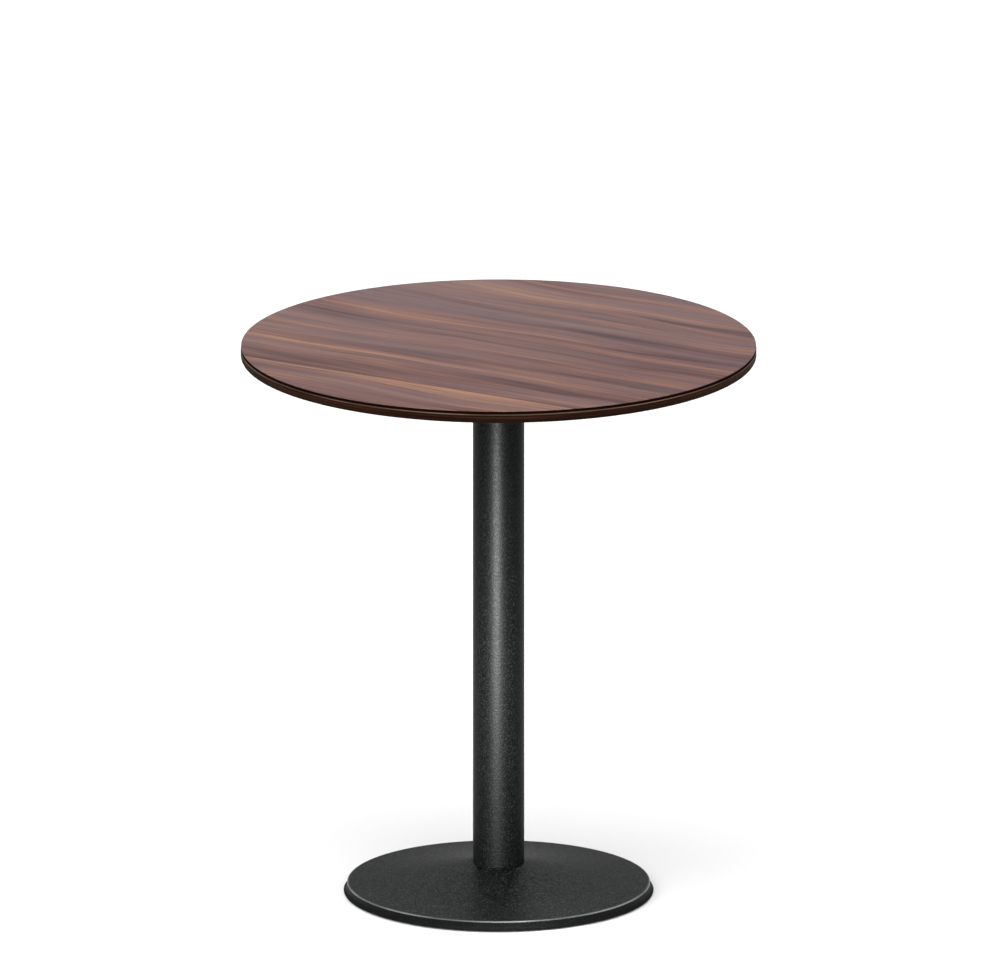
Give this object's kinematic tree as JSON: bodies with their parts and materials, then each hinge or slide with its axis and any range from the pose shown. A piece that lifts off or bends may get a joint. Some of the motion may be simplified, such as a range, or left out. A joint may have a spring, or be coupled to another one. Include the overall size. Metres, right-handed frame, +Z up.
{
  "type": "round pedestal table",
  "caption": "Round dining table with a wood-grain top and brown moulded edge on a single black steel column and a low dished base with screw glides.",
  "frame": {"origin": "on the floor, on the axis of the column, under the centre of the base", "axes": "+Z up along the column's axis; X and Y lie on the floor, between the spider's arms, which point along the diagonals"},
  "size_m": [0.6999, 0.7, 0.77],
  "materials": {
    "wood_laminate": "satin wood-grain decor sheet, ribbon-striped red-brown",
    "board_core": "raw particle board",
    "backer_sheet": "dark brown balancing sheet, matte",
    "edge_plastic": "dark brown moulded plastic, satin",
    "black_powder_coat": "fine-textured black powder coat",
    "zinc_steel": "bright zinc plated",
    "bare_steel": "mill finish",
    "cast_weight": "black dipped casting, rough",
    "glide_plastic": "black nylon"
  },
  "bodies": {
    "table": {"top_laminate": "wood_laminate", "top_core": "board_core", "top_backer": "backer_sheet", "edge_moulding": "edge_plastic", "top_spider": "black_powder_coat", "spider_screws": "zinc_steel", "column_tube": "black_powder_coat", "column_foot_plate": "bare_steel", "tie_rod": "zinc_steel", "tie_rod_top_nut": "zinc_steel", "tie_rod_top_washer": "zinc_steel", "tie_rod_bottom_nut": "zinc_steel", "tie_rod_spring_washer": "zinc_steel", "tie_rod_bottom_washer": "zinc_steel", "base_shell": "black_powder_coat", "base_ballast": "cast_weight"},
    "glide_1_foot": {"glide_pad_1": "glide_plastic"},
    "glide_1_screw": {"glide_stud_1": "zinc_steel"},
    "glide_2_foot": {"glide_pad_2": "glide_plastic"},
    "glide_2_screw": {"glide_stud_2": "zinc_steel"},
    "glide_3_foot": {"glide_pad_3": "glide_plastic"},
    "glide_3_screw": {"glide_stud_3": "zinc_steel"},
    "glide_4_foot": {"glide_pad_4": "glide_plastic"},
    "glide_4_screw": {"glide_stud_4": "zinc_steel"}
  },
  "joints": [
    {"name": "glide_1_travel", "type": "slide", "parent": "table", "child": "glide_1_foot", "axis": [0, 0, -1], "range_m": [0, 0.005]},
    {"name": "glide_1_turn", "type": "hinge", "parent": "glide_1_foot", "child": "glide_1_screw", "pos_m": [0.12374, 0.12374, 0.01], "axis": [0, 0, -1], "range_deg": [0, 1440]},
    {"name": "glide_2_travel", "type": "slide", "parent": "table", "child": "glide_2_foot", "axis": [0, 0, -1], "range_m": [0, 0.005]},
    {"name": "glide_2_turn", "type": "hinge", "parent": "glide_2_foot", "child": "glide_2_screw", "pos_m": [-0.12374, 0.12374, 0.01], "axis": [0, 0, -1], "range_deg": [0, 1440]},
    {"name": "glide_3_travel", "type": "slide", "parent": "table", "child": "glide_3_foot", "axis": [0, 0, -1], "range_m": [0, 0.005]},
    {"name": "glide_3_turn", "type": "hinge", "parent": "glide_3_foot", "child": "glide_3_screw", "pos_m": [-0.12374, -0.12374, 0.01], "axis": [0, 0, -1], "range_deg": [0, 1440]},
    {"name": "glide_4_travel", "type": "slide", "parent": "table", "child": "glide_4_foot", "axis": [0, 0, -1], "range_m": [0, 0.005]},
    {"name": "glide_4_turn", "type": "hinge", "parent": "glide_4_foot", "child": "glide_4_screw", "pos_m": [0.12374, -0.12374, 0.01], "axis": [0, 0, -1], "range_deg": [0, 1440]}
  ],
  "couplings": [
    {"joint": "glide_1_turn", "follows": "glide_1_travel", "rad_per_m": 5026.5},
    {"joint": "glide_2_turn", "follows": "glide_2_travel", "rad_per_m": 5026.5},
    {"joint": "glide_3_turn", "follows": "glide_3_travel", "rad_per_m": 5026.5},
    {"joint": "glide_4_turn", "follows": "glide_4_travel", "rad_per_m": 5026.5}
  ]
}
